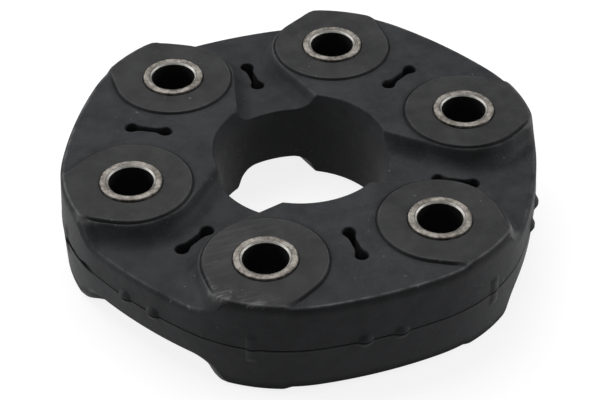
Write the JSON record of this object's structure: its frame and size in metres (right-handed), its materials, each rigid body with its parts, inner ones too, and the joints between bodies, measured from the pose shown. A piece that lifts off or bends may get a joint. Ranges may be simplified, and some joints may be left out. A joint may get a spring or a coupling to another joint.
{
  "type": "driveshaft flex disc",
  "caption": "Round rubber disc with a ring of steel bolt sleeves and a centre hole; cord loops moulded inside carry the torque between two shaft flanges.",
  "frame": {"origin": "on the shaft's axis, in the plane of the lower sleeve faces that the disc stands on", "axes": "+Z along the shaft's axis, +X through the middle of sleeve 1, +Y completes the right-handed frame"},
  "size_m": [0.1342, 0.1308, 0.03],
  "materials": {
    "rubber": "matt moulded black rubber",
    "sleeve_steel": "cut steel tube, dull and mottled",
    "cord": "wound cord, dipped",
    "collar_steel": "plain pressed steel"
  },
  "bodies": {
    "root": {"rubber_body": "rubber", "sleeve_1": "sleeve_steel", "sleeve_2": "sleeve_steel", "sleeve_3": "sleeve_steel", "sleeve_4": "sleeve_steel", "sleeve_5": "sleeve_steel", "sleeve_6": "sleeve_steel", "middle_cord_loop_1": "cord", "middle_cord_loop_2": "cord", "middle_cord_loop_3": "cord", "top_cord_loop_1": "cord", "top_cord_loop_2": "cord", "top_cord_loop_3": "cord", "bottom_cord_loop_1": "cord", "bottom_cord_loop_2": "cord", "bottom_cord_loop_3": "cord", "bottom_collar_1": "collar_steel", "bottom_collar_2": "collar_steel", "bottom_collar_3": "collar_steel", "bottom_collar_4": "collar_steel", "bottom_collar_5": "collar_steel", "bottom_collar_6": "collar_steel", "lower_divider_1": "collar_steel", "lower_divider_2": "collar_steel", "lower_divider_3": "collar_steel", "lower_divider_4": "collar_steel", "lower_divider_5": "collar_steel", "lower_divider_6": "collar_steel", "upper_divider_1": "collar_steel", "upper_divider_2": "collar_steel", "upper_divider_3": "collar_steel", "upper_divider_4": "collar_steel", "upper_divider_5": "collar_steel", "upper_divider_6": "collar_steel", "top_collar_1": "collar_steel", "top_collar_2": "collar_steel", "top_collar_3": "collar_steel", "top_collar_4": "collar_steel", "top_collar_5": "collar_steel", "top_collar_6": "collar_steel"}
  },
  "joints": []
}
